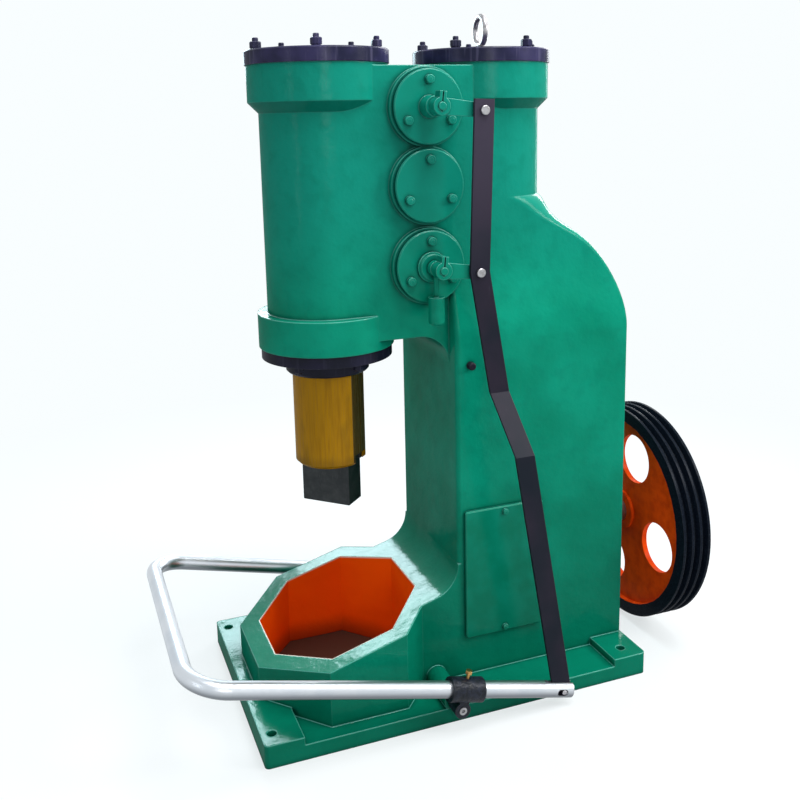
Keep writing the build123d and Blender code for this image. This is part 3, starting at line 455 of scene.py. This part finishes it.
finishes = {
    casting_green: ["frame_casting"],
    part_green: [
        "upper_valve_cover", "middle_valve_cover", "lower_valve_cover", "inspection_cover",
        "rear_bearing_housing", "upper_valve_spindle", "upper_valve_arm", "lower_valve_spindle",
        "lower_valve_arm", "valve_counterweight",
    ],
    lid_navy: ["front_cylinder_lid", "rear_cylinder_lid", "guide_gland"],
    bar_black: ["link_bar", "side_peg"],
    clamp_black: ["near_treadle_clamp", "far_treadle_clamp"],
    ochre: ["ram"],
    die_dark: ["upper_die", "die_key"],
    tube_bright: ["treadle_tube"],
    steel: [
        "lifting_eyebolt", "near_pivot_pin", "far_pivot_pin", "upper_arm_pin", "lower_arm_pin",
        "treadle_link_pin", "crankshaft", "pulley_key", "pulley_washer", "pulley_nut",
    ],
    thumb_brass: ["near_thumb_bolt", "far_thumb_bolt"],
    pulley_orange: ["drive_pulley"],
}
for material, names in finishes.items():
    for name in names:
        nodes[name].data.materials.clear()
        nodes[name].data.materials.append(material)


# Fasteners
class Tree:
    """A geometry node tree, built node by node."""

    def __init__(self, name, inputs):
        self.tree = bpy.data.node_groups.new(name, "GeometryNodeTree")
        self.tree.interface.new_socket("Geometry", in_out="OUTPUT", socket_type="NodeSocketGeometry")
        self.ids = {}
        for label, kind in inputs.items():
            socket = self.tree.interface.new_socket(label, in_out="INPUT", socket_type=kind)
            self.ids[label] = socket.identifier
        self.given = self.tree.nodes.new("NodeGroupInput")

    def take(self, label):
        return self.given.outputs[label]

    def node(self, kind, settings=(), inputs=(), out=0):
        made = self.tree.nodes.new(kind)
        for key, value in dict(settings).items():
            setattr(made, key, value)
        for key, value in dict(inputs).items():
            values = value if isinstance(value, list) else [value]
            for one in values:
                if isinstance(one, bpy.types.NodeSocket):
                    self.tree.links.new(one, made.inputs[key])
                else:
                    made.inputs[key].default_value = one
        return made.outputs[out]

    def maths(self, operation, first, second=0.0):
        return self.node("ShaderNodeMath", {"operation": operation}, {0: first, 1: second})

    def vector(self, x=0.0, y=0.0, z=0.0):
        return self.node("ShaderNodeCombineXYZ", inputs={0: x, 1: y, 2: z})


# width across a hexagon's flats over its corner radius
HEXAGON = 1.7321


def make_fastener_ring():
    """Tree: washers, chamfered hexagons and round tips on a circle."""
    ring = Tree("fastener ring", {
        "Count": "NodeSocketInt", "Circle": "NodeSocketFloat", "Turn": "NodeSocketFloat",
        "Across": "NodeSocketFloat", "Height": "NodeSocketFloat", "Sides": "NodeSocketInt",
        "Washer": "NodeSocketFloat", "Washer height": "NodeSocketFloat",
        "Tip": "NodeSocketFloat", "Tip height": "NodeSocketFloat", "Finish": "NodeSocketMaterial",
    })

    def drum(radius, height, foot, sides, chamfer):
        body = ring.node("GeometryNodeMeshCylinder", {"fill_type": "NGON"}, {
            "Vertices": sides, "Radius": radius, "Depth": height,
        })
        cylinder = body.node
        rise = ring.maths("MULTIPLY", height, chamfer)
        grown = ring.node("GeometryNodeExtrudeMesh", {"mode": "FACES"}, {
            "Mesh": cylinder.outputs["Mesh"], "Selection": cylinder.outputs["Top"], "Offset Scale": rise,
        })
        capped = ring.node("GeometryNodeScaleElements", {"domain": "FACE"}, {
            "Geometry": grown, "Selection": grown.node.outputs["Top"], "Scale": 0.84,
        })
        lift = ring.maths("ADD", ring.maths("MULTIPLY", height, 0.5), foot)
        return ring.node("GeometryNodeTransform", inputs={
            "Geometry": capped, "Translation": ring.vector(z=lift),
        })

    washer_height = ring.take("Washer height")
    hex_radius = ring.maths("DIVIDE", ring.take("Across"), HEXAGON)
    hex_top = ring.maths("ADD", washer_height, ring.take("Height"))
    washer = drum(ring.take("Washer"), washer_height, 0.0, 28, 0.25)
    head = drum(hex_radius, ring.take("Height"), washer_height, ring.take("Sides"), 0.14)
    tip = drum(ring.take("Tip"), ring.take("Tip height"), hex_top, 20, 0.2)
    fastener = ring.node("GeometryNodeJoinGeometry", inputs={"Geometry": [washer, head, tip]})
    row = ring.node("GeometryNodeMeshLine", inputs={
        "Count": ring.take("Count"), "Offset": (0.0, 0.0, 0.0),
    })
    step = ring.maths("DIVIDE", 2 * pi, ring.take("Count"))
    along = ring.maths("MULTIPLY", ring.node("GeometryNodeInputIndex"), step)
    angle = ring.maths("ADD", along, ring.take("Turn"))
    turned = ring.node("GeometryNodeSetPosition", inputs={"Geometry": row, "Position": ring.vector(
        ring.maths("MULTIPLY", ring.maths("COSINE", angle), ring.take("Circle")),
        ring.maths("MULTIPLY", ring.maths("SINE", angle), ring.take("Circle")),
    )})
    twist = ring.node("FunctionNodeRandomValue", {"data_type": "FLOAT"}, {
        "Min": 0.0, "Max": pi / 3, "Seed": 11,
    }, 1)
    set_out = ring.node("GeometryNodeInstanceOnPoints", inputs={
        "Points": turned, "Instance": fastener, "Rotation": ring.vector(z=twist),
    })
    solid = ring.node("GeometryNodeRealizeInstances", inputs={"Geometry": set_out})
    painted = ring.node("GeometryNodeSetMaterial", inputs={
        "Geometry": solid, "Material": ring.take("Finish"),
    })
    end = ring.tree.nodes.new("NodeGroupOutput")
    ring.tree.links.new(painted, end.inputs["Geometry"])
    return ring


def bake(tree, values):
    """Plain mesh that a tree gives with these values."""
    holder = bpy.data.objects.new("holder", bpy.data.meshes.new("holder"))
    bpy.context.scene.collection.objects.link(holder)
    modifier = holder.modifiers.new("shape", "NODES")
    modifier.node_group = tree.tree
    for label, value in values.items():
        modifier[tree.ids[label]] = value
    bpy.context.view_layer.update()
    shaped = holder.evaluated_get(bpy.context.evaluated_depsgraph_get())
    mesh = bpy.data.meshes.new_from_object(shaped)
    holder.modifiers.clear()
    bpy.data.objects.remove(holder)
    return mesh


def place_piece(name, mesh, body, where):
    """Object for a finished mesh, its place put into the mesh."""
    mesh.transform(where)
    mesh.update()
    piece = bpy.data.objects.new(name, mesh)
    bpy.context.scene.collection.objects.link(piece)
    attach(piece, body)


fastener_ring = make_fastener_ring()
UP = Matrix.Identity(4)
DOWN = Matrix.Rotation(pi, 4, "X")
NEAR = Matrix.Rotation(pi / 2, 4, "X")
REAR = Matrix.Rotation(pi / 2, 4, "Y")


def ring_of(name, centre, facing, body, slot, finish, count, circle, turn, across, height,
            washer, washer_height, tip, tip_height, sides=6):
    """Fasteners on a circle about centre, their heads pointing the way of facing."""
    mesh = bake(fastener_ring, {
        "Count": count, "Circle": circle, "Turn": turn, "Across": across, "Height": height,
        "Sides": sides, "Washer": washer, "Washer height": washer_height,
        "Tip": tip, "Tip height": tip_height, "Finish": finish,
    })
    place_piece(name, mesh, body, Matrix.Translation(centre) @ facing)


def sizes(across, height, washer, washer_height, tip, tip_height, sides=6):
    return {
        "across": across, "height": height, "washer": washer, "washer_height": washer_height,
        "tip": tip, "tip_height": tip_height, "sides": sides,
    }


LID_NUT = sizes(0.0215, 0.0125, 0.0105, 0.003, 0.0066, 0.008)
GLAND_BOLT = sizes(0.019, 0.011, 0.0125, 0.002, 0.005, 0.004)
COVER_SCREW = sizes(0.0165, 0.009, 0.0100, 0.001, 0.004, 0.0008, sides=20)
VALVE_HUB = sizes(0.050, 0.005, 0.034, 0.006, 0.020, 0.0005)
HATCH_SCREW = sizes(0.012, 0.006, 0.0075, 0.001, 0.003, 0.0006, sides=20)
BEARING_BOLT = sizes(0.019, 0.010, 0.0115, 0.002, 0.005, 0.002)

LID_CIRCLE, GLAND_CIRCLE, COVER_CIRCLE, BEARING_CIRCLE = 0.1356, 0.130, 0.057, 0.084
FIRST_STUD, LID_SHIFT = radians(253.8), radians(33)
GLAND_NECK = 0.029
HATCH_MARGIN = 0.012
BEARING_FLANGE = 0.016

for name, x, turn in (
    ("front_lid_nuts", ram_x, FIRST_STUD),
    ("rear_lid_nuts", compression_x, FIRST_STUD - LID_SHIFT),
):
    ring_of(name, Vector((x, 0, lid_top)), UP, "frame", "lid_paint", lid_navy,
            5, LID_CIRCLE, turn, **LID_NUT)

gland_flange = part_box("guide_gland")[1].z - GLAND_NECK
ring_of("gland_bolts", Vector((ram_x, 0, gland_flange)), DOWN, "frame", "lid_paint", lid_navy,
        6, GLAND_CIRCLE, radians(15), **GLAND_BOLT)

for name in ("upper_valve_cover", "middle_valve_cover", "lower_valve_cover"):
    centre = middle(name)
    ring_of(name.replace("cover", "screws"), Vector((centre.x, COVER_FACE, centre.z)), NEAR, "frame",
            "green_paint", part_green, 3, COVER_CIRCLE, radians(90), **COVER_SCREW)

lower_valve = middle("lower_valve_cover")
ring_of("lower_valve_hub", Vector((lower_valve.x, COVER_FACE, lower_valve.z)), NEAR, "frame",
        "green_paint", part_green, 1, 0.0, 0.0, **VALVE_HUB)

hatch_low, hatch_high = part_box("inspection_cover")
hatch = middle("inspection_cover")
ring_of("hatch_screws", Vector((hatch.x, hatch_low.y, hatch.z)), NEAR, "frame", "green_paint", part_green,
        2, (hatch_high.z - hatch_low.z) / 2 - HATCH_MARGIN, radians(90), **HATCH_SCREW)

bearing_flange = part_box("rear_bearing_housing")[0].x + BEARING_FLANGE
ring_of("bearing_bolts", Vector((bearing_flange, pulley_centre.y, pulley_centre.z)), REAR, "frame",
        "bright_steel", steel, 6, BEARING_CIRCLE, 0.3, **BEARING_BOLT)


# Floor, surroundings, lamps and camera
BACKDROP = (0.945, 0.99, 1.0)
FLOOR_REACH = 14.0


def stage_floor():
    """Pale floor: lit and shaded near the machine, running out into the white of the surroundings."""
    mesh = bpy.data.meshes.new("floor")
    corners = [(x * FLOOR_REACH, y * FLOOR_REACH, 0) for x, y in ((-1, -1), (1, -1), (1, 1), (-1, 1))]
    mesh.from_pydata(corners, [], [(0, 1, 2, 3)])
    floor = bpy.data.objects.new("floor", mesh)
    bpy.context.scene.collection.objects.link(floor)
    look = Finish("pale floor")
    seen = look.node("ShaderNodeLightPath", out="Is Camera Ray").most(
        look.node("ShaderNodeLightPath", out="Is Glossy Ray")
    ).most(look.node("ShaderNodeLightPath", out="Is Transmission Ray"))
    well_floor_shade = abs(look.x - ram_x).ramp(0.215, 0.205) * abs(look.y).ramp(0.24, 0.23)
    away = (look.x * look.x + look.y * look.y) ** 0.5
    glow_share = (away.ramp(0.7, 2.6) * 0.3 + 0.7) * (1 - well_floor_shade)
    ground = look.blend(seen, (0.50, 0.51, 0.52), (0.84, 0.86, 0.87))
    # painted shade: under the well the floor is painted dark brown with an orange cast, standing in for the
    # shade and the orange reflection there
    ground = look.blend(well_floor_shade, ground, (0.10, 0.045, 0.03))
    lit = look.node("ShaderNodeBsdfDiffuse", inputs={"Color": ground}, out="BSDF")
    glow = look.node("ShaderNodeEmission", inputs={"Color": BACKDROP, "Strength": 1.0}, out="Emission")
    look.node_out(look.node("ShaderNodeMixShader", inputs={
        0: seen * glow_share, 1: lit, 2: glow,
    }, out="Shader"))
    mesh.materials.append(look.material)


def sky():
    """White to the camera and in mirrored rays; for the light, bright above and dimmer at the sides."""
    world = bpy.data.worlds.new("studio air")
    bpy.context.scene.world = world
    world.use_nodes = True
    tree = world.node_tree
    tree.nodes.clear()

    def node(kind, **inputs):
        made = tree.nodes.new(kind)
        for key, value in inputs.items():
            key = key.replace("_", " ")
            if isinstance(value, bpy.types.NodeSocket):
                tree.links.new(value, made.inputs[key])
            else:
                made.inputs[key].default_value = value
        return made

    way = node("ShaderNodeTexCoord").outputs["Generated"]
    height = node("ShaderNodeSeparateXYZ", Vector=way).outputs["Z"]
    shades = tree.nodes.new("ShaderNodeValToRGB")
    tree.links.new(height, shades.inputs["Fac"])
    stops = shades.color_ramp.elements
    stops[0].position, stops[0].color = 0.0, (0.34, 0.36, 0.37, 1)
    stops[1].position, stops[1].color = 0.75, (1.15, 1.18, 1.22, 1)
    middle_stop = stops.new(0.28)
    middle_stop.color = (0.50, 0.52, 0.54, 1)
    around = node("ShaderNodeBackground", Color=shades.outputs["Color"], Strength=0.55)
    seen = node("ShaderNodeBackground", Color=(*BACKDROP, 1), Strength=1.0)
    rays = tree.nodes.new("ShaderNodeLightPath").outputs
    clear = rays["Is Camera Ray"]
    for kind in ("Is Glossy Ray", "Is Transmission Ray"):
        larger = tree.nodes.new("ShaderNodeMath")
        larger.operation = "MAXIMUM"
        tree.links.new(clear, larger.inputs[0])
        tree.links.new(rays[kind], larger.inputs[1])
        clear = larger.outputs[0]
    both = tree.nodes.new("ShaderNodeMixShader")
    tree.links.new(clear, both.inputs[0])
    tree.links.new(around.outputs[0], both.inputs[1])
    tree.links.new(seen.outputs[0], both.inputs[2])
    end = tree.nodes.new("ShaderNodeOutputWorld")
    tree.links.new(both.outputs[0], end.inputs["Surface"])


def lamp(name, where, target, size, power, colour=(1, 1, 1)):
    """Rectangular lamp turned to its target, unseen by the camera."""
    data = bpy.data.lights.new(name, "AREA")
    data.shape = "RECTANGLE"
    data.size, data.size_y = size
    data.energy = power
    data.color = colour
    made = bpy.data.objects.new(name, data)
    made.location = where
    made.rotation_euler = (Vector(target) - Vector(where)).to_track_quat("-Z", "Y").to_euler()
    made.visible_camera = False
    bpy.context.scene.collection.objects.link(made)


stage_floor()
sky()
lamp("window", (2.9, -2.0, 2.6), (0.1, 0, 0.8), (1.0, 1.3), 80, (1.0, 0.99, 0.97))
lamp("ceiling", (0.6, -0.9, 3.9), (0, 0, 0.6), (2.4, 1.4), 95)
lamp("front fill", (-0.4, -3.6, 1.7), (-0.1, 0, 0.7), (0.9, 0.9), 14)
lamp("side", (-3.4, -1.8, 1.9), (-0.1, 0, 0.9), (0.25, 2.2), 8, (0.92, 0.97, 1.0))
lamp("rear window", (2.6, 2.6, 2.6), (0.3, 0, 1.0), (1.2, 2.0), 45)
lamp("right strip", (3.1, 2.3, 1.25), (0.3, 0, 1.0), (0.35, 1.9), 30, (0.95, 1.0, 1.0))
lamp("high rear window", (-0.05, 3.0, 2.05), (-0.25, -0.1, 0.2), (0.8, 1.15), 56, (0.70, 0.92, 1.0))


FILM_WIDTH = 36.0
# focal length over the picture's width, from the fit of the view
FOCAL_SHARE = 964.85 / 800


def make_camera():
    """Camera where the photographer stood, its film a little lower than the lens."""
    pitch, yaw, roll = 0.194, 0.361, 0.021
    ahead = Vector((sin(yaw) * cos(pitch), cos(yaw) * cos(pitch), -sin(pitch)))
    level = Vector((cos(yaw), -sin(yaw), 0))
    below = ahead.cross(level)
    right = level * cos(roll) + below * sin(roll)
    down = ahead.cross(right)
    turned = Matrix((right, -down, -ahead)).transposed().to_4x4()
    data = bpy.data.cameras.new("camera")
    data.sensor_width = FILM_WIDTH
    data.lens = FOCAL_SHARE * FILM_WIDTH
    data.shift_y = -0.11725
    camera = bpy.data.objects.new("camera", data)
    camera.matrix_world = Matrix.Translation((-0.8223, -2.0914, 1.3544)) @ turned
    bpy.context.scene.collection.objects.link(camera)
    bpy.context.scene.camera = camera


make_camera()
bpy.context.scene.view_settings.view_transform = "Standard"
